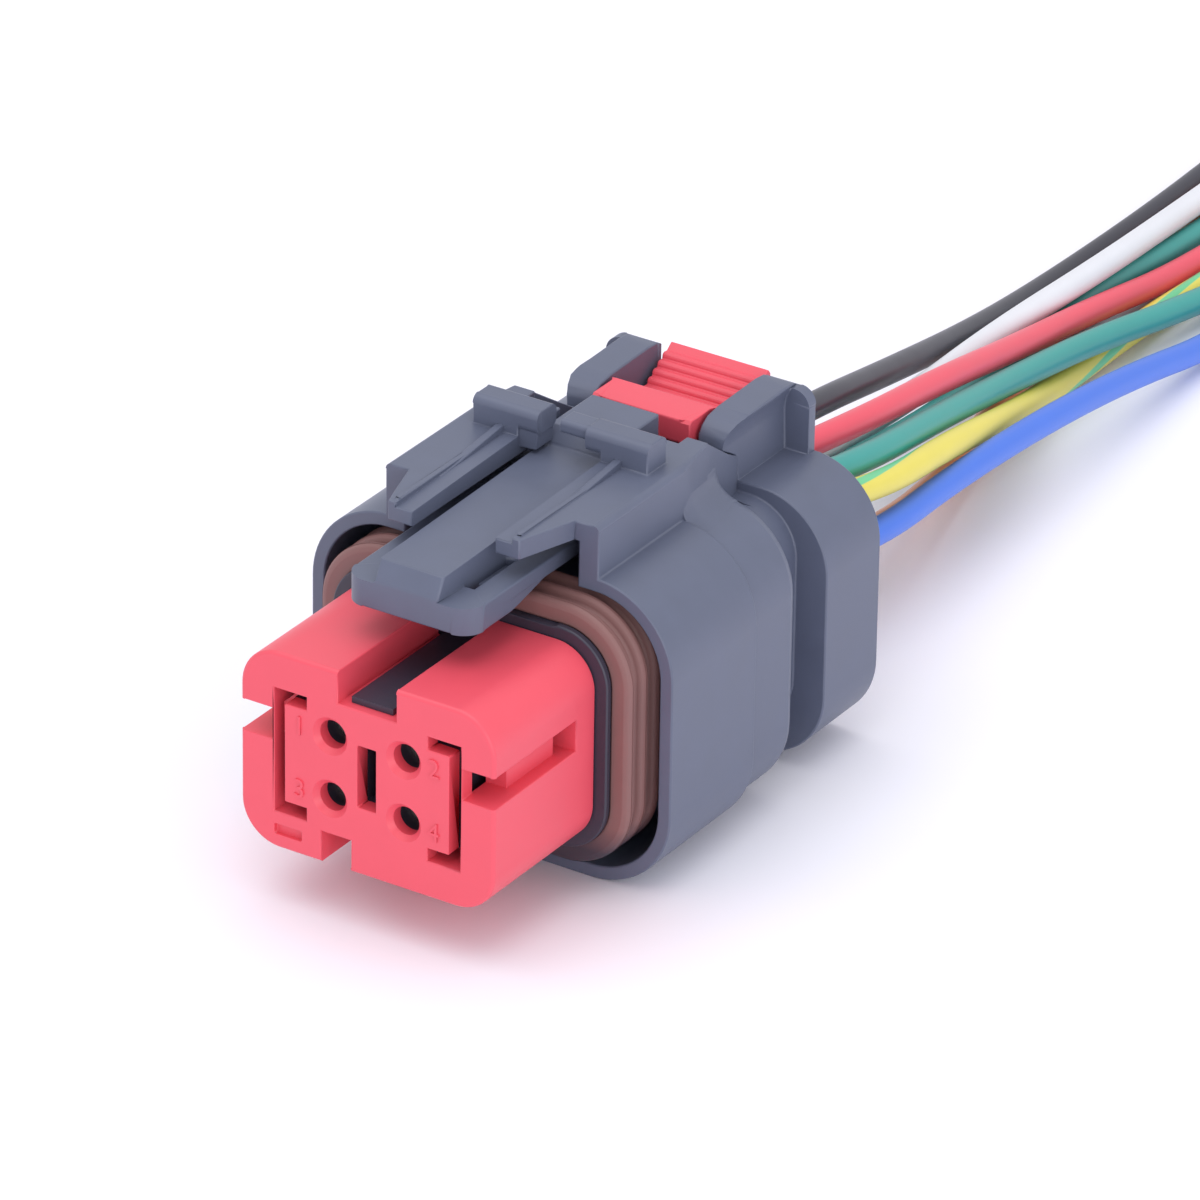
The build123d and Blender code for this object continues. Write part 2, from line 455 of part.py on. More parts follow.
# ---- leads -----------------------------------------------------------------
def corner_radii(points):
    """For each inner point, 0.45 of its shorter run over the tangent of half the turn."""
    radii = []
    for a, b, c in zip(points, points[1:], points[2:]):
        before, after = Vector(b) - Vector(a), Vector(c) - Vector(b)
        turn = before.get_angle(after)
        radii.append(0.45 * min(before.length, after.length) / tan(radians(turn / 2)))
    return radii


def lead(name):
    first = LEADS[name][0]
    points = [(first[0], LEAD_START, first[2])] + LEADS[name]
    radii = corner_radii(points)
    path = FilletPolyline(*points, radius=radii)
    start = Plane(path @ 0, z_dir=path % 0)
    tube = sweep(start * Circle(LEAD_D / 2), path)
    expected = 3.14159265 * (LEAD_D / 2) ** 2 * path.length
    print(f"lead_{name}: {path.length:.1f} mm, {tube.volume / expected:.4f} of its section times its length, "
          f"radii {min(radii):.0f} to {max(radii):.0f}")
    end = Plane(path @ 1, z_dir=path % 1)
    bare = extrude(end * Circle(CONDUCTOR_D / 2), STRIPPED)
    return tube, bare


# ---- the whole plug --------------------------------------------------------
if __name__ == "__main__":
    place("plug_housing", plug_housing())
    place("front_lock", front_lock())
    place("interface_seal", interface_seal())
    place("latch_arm", latch_arm())
    place("position_lock", position_lock())
    place("wire_seal", wire_seal())
    place("seal_retainer", seal_retainer())
    for number, (x, z) in enumerate(ENTRIES, 1):
        place(f"contact_{number}", contact(x, z))
    for name in LEADS:
        tube, bare = lead(name)
        place(f"lead_{name}", tube)
        place(f"conductor_{name}", bare)
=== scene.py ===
# %% [markdown]
# This scene dresses a sealed plug for a car harness. Its solid pieces come
# from the frame at their real size, in metres. They could be modelled again
# by hand, but then the looks and the solids would drift apart, so each solid
# is only copied and finished here. The cells below give them broken edges,
# plastic, rubber and metal, and lay soft leads in place of the stiff ones.

# %% Load the frame
import json
import math

import bmesh
import bpy
import numpy as np
from mathutils import Matrix, Vector

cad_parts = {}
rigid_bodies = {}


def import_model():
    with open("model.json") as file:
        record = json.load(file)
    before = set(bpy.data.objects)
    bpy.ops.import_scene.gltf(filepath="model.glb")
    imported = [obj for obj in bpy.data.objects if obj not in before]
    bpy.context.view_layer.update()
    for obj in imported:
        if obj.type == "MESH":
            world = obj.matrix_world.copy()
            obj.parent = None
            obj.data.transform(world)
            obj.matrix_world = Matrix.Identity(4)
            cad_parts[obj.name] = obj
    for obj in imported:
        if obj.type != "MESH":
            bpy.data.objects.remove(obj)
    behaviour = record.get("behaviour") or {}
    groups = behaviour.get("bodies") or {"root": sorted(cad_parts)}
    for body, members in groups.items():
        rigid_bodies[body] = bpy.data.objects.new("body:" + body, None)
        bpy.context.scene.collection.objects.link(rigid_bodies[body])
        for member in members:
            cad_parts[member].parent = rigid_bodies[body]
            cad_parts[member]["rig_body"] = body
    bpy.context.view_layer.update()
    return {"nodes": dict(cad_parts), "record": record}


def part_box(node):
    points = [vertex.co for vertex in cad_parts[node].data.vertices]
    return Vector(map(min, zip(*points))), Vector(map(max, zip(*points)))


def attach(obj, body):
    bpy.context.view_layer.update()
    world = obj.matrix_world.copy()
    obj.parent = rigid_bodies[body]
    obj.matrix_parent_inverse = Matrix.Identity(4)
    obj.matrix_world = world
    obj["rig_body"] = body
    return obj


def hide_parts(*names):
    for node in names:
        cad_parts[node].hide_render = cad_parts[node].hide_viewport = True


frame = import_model()
MM = 0.001
lock_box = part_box("front_lock")
FACE_Y = lock_box[0].y                        # the mating face
AXIS_Z = (lock_box[0].z + lock_box[1].z) / 2  # the middle height of the core
print("mating face at y", round(FACE_Y / MM, 2), "mm, axis at z", round(AXIS_Z / MM, 2), "mm")


def placed(name, data):
    """An object that holds a mesh, curve, lamp or camera, linked to the scene."""
    obj = bpy.data.objects.new(name, data)
    bpy.context.scene.collection.objects.link(obj)
    return obj


# %% [markdown]
# The photograph was taken with a long lens from the front right and above.
# A camera could be moved by eye until the picture fits. Here its place is
# worked out from one point of the mating face, the pixel that it falls on and
# how large a millimetre is there, so that each number can be checked.

# %% Camera
IMAGE = 1200                      # the photograph's side in pixels
FOCAL = 9524.0                    # focal length in pixels
SENSOR = 36.0                     # millimetres
AZIMUTH, ELEVATION, ROLL = (math.radians(a) for a in (32.47, 27.67, 0.88))
SEEN_AT = (366.5, 760.0)          # pixel of the point aimed at
AIM_HEIGHT = 17.1                 # millimetres up the mating face
SCALE = 11.6                      # pixels per millimetre there
aim = Vector((0.0, FACE_Y, AIM_HEIGHT * MM))

back = Vector((math.sin(AZIMUTH) * math.cos(ELEVATION),
               -math.cos(AZIMUTH) * math.cos(ELEVATION), math.sin(ELEVATION)))
right = Vector((math.cos(AZIMUTH), math.sin(AZIMUTH), 0.0))
up = back.cross(right)
cam_x = math.cos(ROLL) * right + math.sin(ROLL) * up
cam_y = math.cos(ROLL) * up - math.sin(ROLL) * right
distance = FOCAL / SCALE * MM
offset_x = (SEEN_AT[0] - IMAGE / 2) / FOCAL * distance
offset_y = (IMAGE / 2 - SEEN_AT[1]) / FOCAL * distance
place = aim + back * distance - cam_x * offset_x - cam_y * offset_y

camera = placed("camera", bpy.data.cameras.new("camera"))
camera.data.sensor_width = SENSOR
camera.data.lens = FOCAL / IMAGE * SENSOR
camera.data.clip_start, camera.data.clip_end = 0.05, 20.0
camera.matrix_world = Matrix((
    (cam_x.x, cam_y.x, back.x, place.x), (cam_x.y, cam_y.y, back.y, place.y),
    (cam_x.z, cam_y.z, back.z, place.z), (0, 0, 0, 1)))
bpy.context.scene.camera = camera
bpy.context.scene.view_settings.view_transform = "Standard"
print("camera", round(distance / MM), "mm from the mating face, lens", round(camera.data.lens), "mm")

# %% [markdown]
# The leads are soft wires in coloured insulation. Each could be a Bezier
# curve with a round bevel, but a mesh made here keeps its own UV map for the
# stripe. So each lead is one smooth spline that leaves its hole straight,
# sinks under its own weight and lies on the ground. The spline's control
# points are the corners of the route that the solid lead follows.

# %% Routes of the leads, across, back from the mating face, and up, in millimetres
LEAD_D = 2.6
LEAD_START, LEAVES_AT = 36.0, 53.8
GROUND = LEAD_D / 2 + 0.02
PITCH_X, PITCH_Z, LEAD_PITCH = 7.66, 6.14, 3.0
LEAD_AXIS = 15.17
ROW_TOP, ROW_LOW = LEAD_AXIS + PITCH_Z / 2, LEAD_AXIS - PITCH_Z / 2
OUTER, INNER = (PITCH_X + LEAD_PITCH) / 2, (PITCH_X - LEAD_PITCH) / 2
ROUTES = {
    "black": [(-OUTER, 58, ROW_TOP), (-4.7, 80, 16.9), (-8.6, 101, 10.9), (-12.9, 124, 4.6),
              (-15.3, 143, GROUND), (-15.0, 163, GROUND), (-15.7, 183, GROUND), (-15.0, 200, GROUND)],
    "red": [(-INNER, 58, ROW_TOP), (0.6, 79, 16.8), (-1.5, 99, 12.9), (-4.0, 117, 8.2),
            (-5.9, 135, 4.4), (-5.9, 153, GROUND), (-5.0, 173, GROUND), (-5.6, 193, GROUND),
            (-5.4, 201, GROUND)],
    "teal_b": [(INNER, 58, ROW_TOP), (4.7, 74, 16.3), (1.9, 93, 12.4), (-0.7, 110, 8.3),
               (-1.7, 128, 5.1), (-0.3, 144, 2.7), (1.4, 161, GROUND), (1.2, 181, GROUND),
               (0.5, 200, GROUND)],
    "yellow_green": [(OUTER, 58, ROW_TOP), (7.4, 73, 14.9), (5.3, 89, 12.1), (1.9, 107, 6.9),
                     (-2.2, 123, 2.4), (-3.6, 141, GROUND), (-2.2, 159, GROUND), (-1.8, 179, GROUND),
                     (-2.6, 198, GROUND)],
    "white": [(-OUTER, 58, ROW_LOW), (-5.0, 79, 11.4), (-5.9, 100, 9.0), (-7.8, 120, 7.5),
              (-8.5, 141, 5.9), (-10.4, 161, 3.8), (-10.7, 181, 3.5), (-10.4, 202, 3.5)],
    "teal_a": [(-INNER, 58, ROW_LOW), (-2.6, 79, 10.4), (-3.6, 100, 7.4), (-6.6, 120, 4.6),
               (-9.2, 140, 3.3), (-9.0, 160, GROUND), (-8.6, 180, GROUND), (-9.0, 202, GROUND)],
    "orange": [(INNER, 58, ROW_LOW), (2.6, 76, 6.2), (-0.9, 98, 2.0), (-6.2, 119, GROUND),
               (-11.4, 140, GROUND), (-12.3, 160, GROUND), (-12.5, 180, GROUND), (-12.2, 201, GROUND)],
    "blue": [(OUTER, 58, ROW_LOW), (8.4, 71, 11.0), (7.0, 87, 9.9), (6.0, 106, 7.9),
             (5.1, 124, 4.9), (4.8, 141, GROUND), (4.9, 158, GROUND), (4.2, 178, GROUND),
             (4.7, 197, GROUND)],
}


def in_frame(points):
    """Points in the frame: millimetres to metres, with y counted from the mating face."""
    p = np.array(points, float) * MM
    p[:, 1] += FACE_Y
    return p


# %% Smooth lines of the leads
def spline_line(name, points):
    """Points along a quadratic NURBS spline that has the route as its control
    points: each piece of it is a parabola that touches two sides of the route."""
    curve = bpy.data.curves.new(name, "CURVE")
    curve.dimensions = "3D"
    curve.resolution_u = 12
    spline = curve.splines.new("NURBS")
    spline.points.add(len(points) - 1)
    spline.points.foreach_set("co", np.c_[points, np.ones(len(points))].ravel())
    spline.order_u = 3
    spline.use_endpoint_u = True
    holder = placed(name, curve)
    mesh = bpy.data.meshes.new_from_object(holder)
    line = np.empty(len(mesh.vertices) * 3)
    mesh.vertices.foreach_get("co", line)
    bpy.data.objects.remove(holder)
    bpy.data.meshes.remove(mesh)
    return line.reshape(-1, 3)


# %% A round tube along a line
CENTIMETRE = 0.01     # the UV map's u counts centimetres along a lead, and v parts of a turn


def new_mesh(name, verts, quads, uv=None):
    """A mesh object from arrays of corners and four-sided faces."""
    mesh = bpy.data.meshes.new(name)
    mesh.from_pydata(verts.tolist(), [], quads.tolist())
    if uv is not None:
        layer = mesh.uv_layers.new(name="along")
        layer.data.foreach_set("uv", uv.ravel())
    mesh.validate()
    return placed(name, mesh)


def tube(name, line, radius, around=20):
    """A round tube: at each point of the line stands a circle, the radius times
    the cosine of the turn along a level axis plus its sine along a rising one.
    Neighbouring circles are joined by quads, and both ends are closed."""
    run = np.gradient(line, axis=0)
    run /= np.linalg.norm(run, axis=1)[:, None]
    level = np.cross(run, [0.0, 0.0, 1.0])
    level /= np.linalg.norm(level, axis=1)[:, None]
    rise = np.cross(level, run)
    angle = np.linspace(0, 2 * np.pi, around, endpoint=False)[None, :, None]
    ring = np.cos(angle) * level[:, None] + np.sin(angle) * rise[:, None]
    verts = line[:, None] + radius * ring

    count = len(line)
    index = np.arange(count * around).reshape(count, around)
    beside = np.roll(index, -1, axis=1)
    quads = np.stack([index[:-1], index[1:], beside[1:], beside[:-1]], -1).reshape(-1, 4)
    u = np.r_[0.0, np.cumsum(np.linalg.norm(np.diff(line, axis=0), axis=1))] / CENTIMETRE
    v = np.arange(around) / around
    corner_u = np.stack([u[:-1], u[1:], u[1:], u[:-1]], -1)[:, None, :].repeat(around, 1)
    corner_v = np.stack([v, v, v + 1 / around, v + 1 / around], -1)[None].repeat(count - 1, 0)
    obj = new_mesh(name, verts.reshape(-1, 3), quads, np.stack([corner_u, corner_v], -1).reshape(-1, 2))

    bm = bmesh.new()
    bm.from_mesh(obj.data)
    bmesh.ops.holes_fill(bm, edges=[e for e in bm.edges if e.is_boundary])
    bmesh.ops.recalc_face_normals(bm, faces=bm.faces)
    bm.to_mesh(obj.data)
    bm.free()
    for face in obj.data.polygons:
        face.use_smooth = len(face.vertices) == 4
    return obj


# %% Lay the leads
leads = {}
for colour, route in ROUTES.items():
    points = in_frame([(route[0][0], LEAD_START, route[0][2])] + route)
    line = spline_line("line_" + colour, points)
    lead = tube("insulation_" + colour, line, LEAD_D / 2 * MM)
    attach(lead, "housing")
    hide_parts("lead_" + colour)
    length = float(np.linalg.norm(np.diff(line, axis=0), axis=1).sum())
    leads[colour] = lead
    print("lead", colour, round(length / MM, 1), "mm")

# %% [markdown]
# Moulded plastic is never one flat colour. A photographed texture would show
# its repeats on so small a part, so the finish is worked out. It mixes two
# close tones with soft noise, varies the gloss a little and adds a very fine
# bump for the texture that the mould leaves.

# %% Noise and gloss
def new_finish(name):
    """A material with nodes, and its shader."""
    mat = bpy.data.materials.new(name)
    mat.use_nodes = True
    return mat, mat.node_tree.nodes["Principled BSDF"]


def noise(mat, scale, detail=2.0):
    """A noise on Object coordinates: its grains measure about one over the scale, in metres."""
    coords = mat.node_tree.nodes.new("ShaderNodeTexCoord")
    cloud = mat.node_tree.nodes.new("ShaderNodeTexNoise")
    cloud.inputs["Scale"].default_value = scale
    cloud.inputs["Detail"].default_value = detail
    mat.node_tree.links.new(coords.outputs["Object"], cloud.inputs["Vector"])
    return cloud.outputs["Fac"]


def uneven_gloss(mat, shader, cloud, smoothest, roughest):
    """Roughness that goes from the smoothest to the roughest as the noise goes from 0 to 1."""
    gloss = mat.node_tree.nodes.new("ShaderNodeMapRange")
    gloss.inputs["To Min"].default_value = smoothest
    gloss.inputs["To Max"].default_value = roughest
    mat.node_tree.links.new(cloud, gloss.inputs["Value"])
    mat.node_tree.links.new(gloss.outputs["Result"], shader.inputs["Roughness"])


# %% Moulded plastic and rubber
CLOUD_SCALE = 260.0           # soft patches of about 4 mm
GRAIN_SCALE = 6250.0          # the mould's texture, about 0.16 mm
GRAIN_HEIGHT = 0.00002
GLOSS_SPREAD = 0.07


def moulded(name, colour, rough, grain=0.25, shift=0.10):
    """Two tones, the colour less and plus a share of itself, mixed by noise, with a fine bump."""
    mat, shader = new_finish(name)
    nodes, links = mat.node_tree.nodes, mat.node_tree.links
    cloud = noise(mat, CLOUD_SCALE, detail=4.0)
    tone = nodes.new("ShaderNodeMix")
    tone.data_type = "RGBA"
    tone.inputs["A"].default_value = (*[c * (1 - shift) for c in colour], 1)
    tone.inputs["B"].default_value = (*[min(1.0, c * (1 + shift)) for c in colour], 1)
    links.new(cloud, tone.inputs["Factor"])
    links.new(tone.outputs["Result"], shader.inputs["Base Color"])
    uneven_gloss(mat, shader, cloud, rough - GLOSS_SPREAD, rough + GLOSS_SPREAD)
    bump = nodes.new("ShaderNodeBump")
    bump.inputs["Strength"].default_value = grain
    bump.inputs["Distance"].default_value = GRAIN_HEIGHT
    links.new(noise(mat, GRAIN_SCALE, detail=3.0), bump.inputs["Height"])
    links.new(bump.outputs["Normal"], shader.inputs["Normal"])
    return mat


# %% [markdown]
# The core stands deep inside the shroud, in its shade, and looks darker than
# the shroud, though both are one moulding. That shade is painted into the
# colour: a second material on some of the faces would end at a hard, jagged
# line, so a darker colour, painted shade, is mixed in by place. The seal gets
# painted shade near the ground in the same way.

# %% Colours mixed in by place, painted shade among them
def lay_over(mat, colour, share):
    """Mix a colour into a finish: the new colour times the share, plus the old
    colour times what is left of one."""
    base_color = mat.node_tree.nodes["Principled BSDF"].inputs["Base Color"]
    before = base_color.links[0].from_socket
    lay = mat.node_tree.nodes.new("ShaderNodeMix")
    lay.data_type = "RGBA"
    lay.inputs["B"].default_value = (*colour, 1)
    mat.node_tree.links.new(share, lay.inputs["Factor"])
    mat.node_tree.links.new(before, lay.inputs["A"])
    mat.node_tree.links.new(lay.outputs["Result"], base_color)


def fading(mat, value, edge, fade):
    """A share that is 1 below an edge and 0 above it, with a straight fade to both sides."""
    slope = mat.node_tree.nodes.new("ShaderNodeMapRange")
    slope.inputs["From Min"].default_value = edge + fade
    slope.inputs["From Max"].default_value = edge - fade
    mat.node_tree.links.new(value, slope.inputs["Value"])
    return slope.outputs["Result"]


def maths(mat, operation, a, b=0.0):
    """One step of arithmetic on sockets or plain numbers."""
    node = mat.node_tree.nodes.new("ShaderNodeMath")
    node.operation = operation
    for socket, value in zip(node.inputs, (a, b)):
        if isinstance(value, float):
            socket.default_value = value
        else:
            mat.node_tree.links.new(value, socket)
    return node.outputs[0]


def darker_core(mat, colour, behind, below, fade=0.0002):
    """Paint shade by place: lay a darker tone on what lies in front of one plane
    and below another. Its share is the fade along y times the fade along z."""
    coords = mat.node_tree.nodes.new("ShaderNodeTexCoord")
    split = mat.node_tree.nodes.new("ShaderNodeSeparateXYZ")
    mat.node_tree.links.new(coords.outputs["Object"], split.inputs["Vector"])
    in_front = fading(mat, split.outputs["Y"], behind, fade)
    underneath = fading(mat, split.outputs["Z"], below, fade)
    lay_over(mat, colour, maths(mat, "MULTIPLY", in_front, underneath))


# %% Plastics and rubbers of the plug
HOUSING = (0.110, 0.126, 0.188)
CORE_PAINTED_SHADE, CORE_SHADE_REAR, CORE_SHADE_TOP = (0.036, 0.034, 0.056), 0.0180, 0.0275
RED = (0.80, 0.085, 0.125)
RING_PAINTED_SHADE, RING_SHADE_REAR, RING_SHADE_TOP = (0.045, 0.034, 0.050), 0.1, 0.0058
housing_plastic = moulded("housing_plastic", HOUSING, 0.42)
core_plastic_painted_shade = moulded("core_plastic_painted_shade", HOUSING, 0.42)
# painted shade: the core, which lies in the shroud's shade, is darkened in front of one plane and below
# another
darker_core(core_plastic_painted_shade, CORE_PAINTED_SHADE, FACE_Y + CORE_SHADE_REAR, CORE_SHADE_TOP)
lock_plastic = moulded("lock_plastic", RED, 0.40, shift=0.04)
seal_rubber = moulded("seal_rubber", (0.21, 0.095, 0.085), 0.55, grain=0.1)
ring_rubber_painted_shade = moulded("ring_rubber_painted_shade", (0.23, 0.110, 0.105), 0.55, grain=0.1)
# painted shade: the seal goes darker near the ground
darker_core(ring_rubber_painted_shade, RING_PAINTED_SHADE, FACE_Y + RING_SHADE_REAR, RING_SHADE_TOP, fade=0.0015)
retainer_plastic = moulded("retainer_plastic", (0.035, 0.038, 0.055), 0.45)

# %% [markdown]
# The contacts are tinned copper, and so are the strands at the stripped ends.
# Tin is a dull metal. Scratches could be modelled, but at this size a plain
# metal shader is enough once noise keeps its gloss from being even.

# %% Metal of the contacts and the stripped ends
TIN_CLOUD_SCALE = 1500.0


def tinned(name, colour, rough):
    """Dull tin: metal whose roughness goes from 0.1 under its value to 0.15 over it."""
    mat, shader = new_finish(name)
    shader.inputs["Base Color"].default_value = (*colour, 1)
    shader.inputs["Metallic"].default_value = 1.0
    uneven_gloss(mat, shader, noise(mat, TIN_CLOUD_SCALE), rough - 0.1, rough + 0.15)
    return mat


tin = tinned("tin_plate", (0.72, 0.70, 0.66), 0.35)
strands = tinned("tinned_strands", (0.78, 0.76, 0.74), 0.3)

# %% [markdown]
# Insulation is a soft, slightly glossy plastic. One lead has a green stripe,
# which winds slowly round because the lead is twisted a little. An image
# could carry it, but the UV map already counts centimetres and turns, so a
# little arithmetic on it draws a clean line of any length.

# %% A stripe that winds about a lead
STRIPE_SOFTNESS = 0.006       # parts of a turn


def striped(mat, colour, start, turn, width):
    """Lay a stripe over a finish. Its middle lies where the part of a turn round
    the lead equals start plus turn for each centimetre."""
    uv = mat.node_tree.nodes.new("ShaderNodeUVMap")
    uv.uv_map = "along"
    split = mat.node_tree.nodes.new("ShaderNodeSeparateXYZ")
    mat.node_tree.links.new(uv.outputs["UV"], split.inputs["Vector"])
    wound = maths(mat, "SUBTRACT", split.outputs["Y"], maths(mat, "MULTIPLY", split.outputs["X"], turn))
    part = maths(mat, "FRACT", maths(mat, "ADD", wound, 1.5 - start))
    off = maths(mat, "ABSOLUTE", maths(mat, "SUBTRACT", part, 0.5))
    lay_over(mat, colour, fading(mat, off, width / 2, STRIPE_SOFTNESS))


# %% Finish the leads, the contacts and the inner pieces
INSULATION = {
    "black": (0.045, 0.045, 0.062), "white": (0.74, 0.75, 0.80), "orange": (0.78, 0.28, 0.12),
    "teal_a": (0.045, 0.33, 0.30), "teal_b": (0.045, 0.33, 0.30), "red": (0.80, 0.085, 0.13),
    "yellow_green": (0.76, 0.66, 0.11), "blue": (0.065, 0.18, 0.72)}
STRIPE_GREEN = (0.15, 0.58, 0.28)


def finish_with(obj, mat):
    """Give a whole piece one finish."""
    obj.data.materials.clear()
    obj.data.materials.append(mat)


for colour, lead in leads.items():
    finish_with(lead, moulded("insulation_" + colour, INSULATION[colour], 0.38, grain=0.08, shift=0.05))
striped(leads["yellow_green"].data.materials[0], STRIPE_GREEN, start=-0.24, turn=0.13, width=0.11)
for node, obj in frame["nodes"].items():
    if node.startswith("contact"):
        finish_with(obj, tin)
    elif node.startswith("conductor"):
        finish_with(obj, strands)
finish_with(frame["nodes"]["seal_retainer"], retainer_plastic)
finish_with(frame["nodes"]["wire_seal"], seal_rubber)
print("finishes:", len(bpy.data.materials))

# %% [markdown]
# A moulding's edges are never razor sharp. Rounding them in the solids would
# cost much time and many faces. Instead each visible solid is copied, its
# loose triangles are joined, and a narrow bevel breaks the long edges so that
# they catch the light. Edges of close fits inside the plug stay as they are,
# because a bevel fills an inner corner and would touch the next piece.

# %% Which edges to break
WIDEST = 0.55         # millimetres, width of a bevel of full weight
SHORT_CHORD = 0.3     # millimetres; shorter edges belong to a rounded corner or a hole's rim
SHARP = 32.0          # degrees between the faces at a sharp edge
WELD = 0.002          # millimetres between corners that are one
SHELF = (15.2, 3.4, 26.5)       # half-width, foot and top of what the rear rounds leave alone


def is_sharp(edge):
    """Whether the faces at an edge meet at more than the sharp angle."""
    return edge.is_manifold and edge.calc_face_angle() > math.radians(SHARP)


def touches_chords(edge):
    """Whether a sharp edge of a few chords' length runs on as short chords of a curve."""
    for vert in edge.verts:
        for other in vert.link_edges:
            if other is not edge and other.calc_length() <= SHORT_CHORD * MM and is_sharp(other):
                return edge.calc_length() < 4 * SHORT_CHORD * MM
    return False


def at_level(edge, levels, within=0.02):
    """Whether an edge lies in one of the planes across the plug, outside its neck."""
    half_width, foot, top = SHELF
    middle = (edge.verts[0].co + edge.verts[1].co) / 2 / MM
    outside = abs(middle.x) > half_width or not foot < middle.z < top
    behind = [(vert.co.y - FACE_Y) / MM for vert in edge.verts]
    return outside and any(all(abs(y - level) < within for y in behind) for level in levels)


def in_box(edge, box):
    """Whether an edge's middle lies in a box about the plug's middle line: its
    half-width, its front and rear behind the mating face, its foot and top."""
    half_width, front, rear, foot, top = box
    middle = (edge.verts[0].co + edge.verts[1].co) / 2 / MM
    return abs(middle.x) < half_width and front < middle.y - FACE_Y / MM < rear and foot < middle.z < top


# %% Moulded copies with broken edges
def broken_edges(node, width, mat, round_at=(), close_fit=()):
    """A joined copy of a solid. An edge's bevel is the widest one times the edge's
    weight: the width over the widest, or 1 at the levels that are round."""
    source = frame["nodes"][node]
    mesh = source.data.copy()
    bm = bmesh.new()
    bm.from_mesh(mesh)
    bmesh.ops.remove_doubles(bm, verts=bm.verts, dist=WELD * MM)
    weights = bm.edges.layers.float.new("bevel_weight_edge")
    for edge in bm.edges:
        sharp = is_sharp(edge)
        long = edge.calc_length() > SHORT_CHORD * MM
        close = close_fit and in_box(edge, close_fit)
        if sharp and long and not close and not touches_chords(edge):
            edge[weights] = 1.0 if round_at and at_level(edge, round_at) else width / WIDEST
        edge.smooth = not sharp
    for face in bm.faces:
        face.smooth = True
    bm.to_mesh(mesh)
    bm.free()
    obj = placed(node + "_moulding", mesh)
    bevel = obj.modifiers.new("broken edges", "BEVEL")
    bevel.width = WIDEST * MM
    bevel.segments = 2
    bevel.limit_method = "WEIGHT"
    bevel.use_clamp_overlap = False
    bevel.harden_normals = False
    obj.modifiers.new("even shading", "WEIGHTED_NORMAL").keep_sharp = True
    finish_with(obj, mat)
    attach(obj, source["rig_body"])
    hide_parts(node)
    print(node, len(mesh.polygons), "faces before the bevel")
    return obj


BEVELS = {"plug_housing": (0.14, core_plastic_painted_shade), "latch_arm": (0.20, housing_plastic),
          "front_lock": (0.12, lock_plastic), "position_lock": (0.12, lock_plastic),
          "interface_seal": (0.25, ring_rubber_painted_shade)}
ROUND_AT = {"plug_housing": (40.1, 41.0)}
CLOSE_FIT = {"plug_housing": (12.0, 0.0, 16.0, 8.0, 22.5), "front_lock": (12.0, 1.0, 15.0, 8.0, 22.0)}
SLOTS = {s["node"]: s["material_slot"] for s in frame["record"]["subparts"]}
for node, (width, mat) in BEVELS.items():
    moulding = broken_edges(node, width, mat, ROUND_AT.get(node, ()), CLOSE_FIT.get(node, ()))

# %% [markdown]
# Some forms of the plug are too soft for plain solids: walls that curve back
# from the tunnel to the ears, the hollow at their foot, ribs that rise along
# the roof. They could be sculpted, but a row of closed outlines across the
# plug, with faces stretched from one to the next, keeps each form to a few
# measured values. Positions are in millimetres, y behind the mating face.

# %% A solid through outlines
def outlines(y, corners):
    """Outlines across the plug, one at each y, from lists of (x, z) that follow y."""
    rows = [np.stack([np.broadcast_to(x, y.shape), y, np.broadcast_to(z, y.shape)], -1) for x, z in corners]
    return np.stack(rows, axis=1)


def mirrored(shape, side):
    """Outlines with x times 1 or -1, for the right or the left."""
    return shape * np.array([side, 1, 1])


def loft(name, shape, mat, body, slot, edge=0.12):
    """A solid through closed outlines, an array of outline, corner and (x, y, z):
    quads join each corner to the next one and to the same one of the next outline."""
    shape = in_frame(shape.reshape(-1, 3)).reshape(shape.shape)
    count, around = shape.shape[:2]
    index = np.arange(count * around).reshape(count, around)
    beside = np.roll(index, -1, axis=1)
    quads = np.stack([index[:-1], beside[:-1], beside[1:], index[1:]], -1).reshape(-1, 4)
    mesh = bpy.data.meshes.new(name)
    ends = [index[0].tolist(), index[-1].tolist()]
    mesh.from_pydata(shape.reshape(-1, 3).tolist(), [], quads.tolist() + ends)
    bm = bmesh.new()
    bm.from_mesh(mesh)
    bmesh.ops.recalc_face_normals(bm, faces=bm.faces)
    for face in bm.faces:
        face.smooth = True
    bm.to_mesh(mesh)
    bm.free()
    obj = placed(name, mesh)
    bevel = obj.modifiers.new("broken edges", "BEVEL")
    bevel.width, bevel.segments, bevel.angle_limit = edge * MM, 2, math.radians(40)
    obj.modifiers.new("even shading", "WEIGHTED_NORMAL").keep_sharp = True
    finish_with(obj, mat)
    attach(obj, body)
    return obj


# %% Walls from the tunnel to the ears
SIDE_Y, SIDE_X = (33.1, 38.4, 46.5), (11.1, 10.17, 8.3)     # the wall's outer face comes in
WALL_T = 1.6
wall_y = np.linspace(38.2, 46.5, 15)
wall_x = np.interp(wall_y, SIDE_Y, SIDE_X)
wall_top = np.interp(wall_y, [38.2, 38.4, 41.0, 44.2, 46.5], [34.6, 34.55, 32.8, 30.7, 29.4])
wall_foot = np.interp(wall_y, [40.0, 40.6, 46.5], [28.4, 25.9, 25.9])
bay_wall = outlines(wall_y, [(wall_x, wall_foot), (wall_x, wall_top), (wall_x - WALL_T, wall_top),
                             (wall_x - WALL_T, wall_foot)])

# %% The hollow at the foot of each wall
BODY_TOP, BODY_ROUND, ROUND_FROM = 29.1, 8.0, 10.4
REAR_FROM, REAR_RUN, REAR_DROP = 39.8, 1.2, 0.9
HOLLOW_FOOT, SUNK, SKIN = 26.0, 0.4, 0.01
hollow_y = np.linspace(33.0, 41.0, 17)
hollow_x = np.interp(hollow_y, SIDE_Y, SIDE_X)
hollow_r = np.interp(hollow_y, [33.0, 34.5, 41.0], [1.6, 2.4, 2.4])


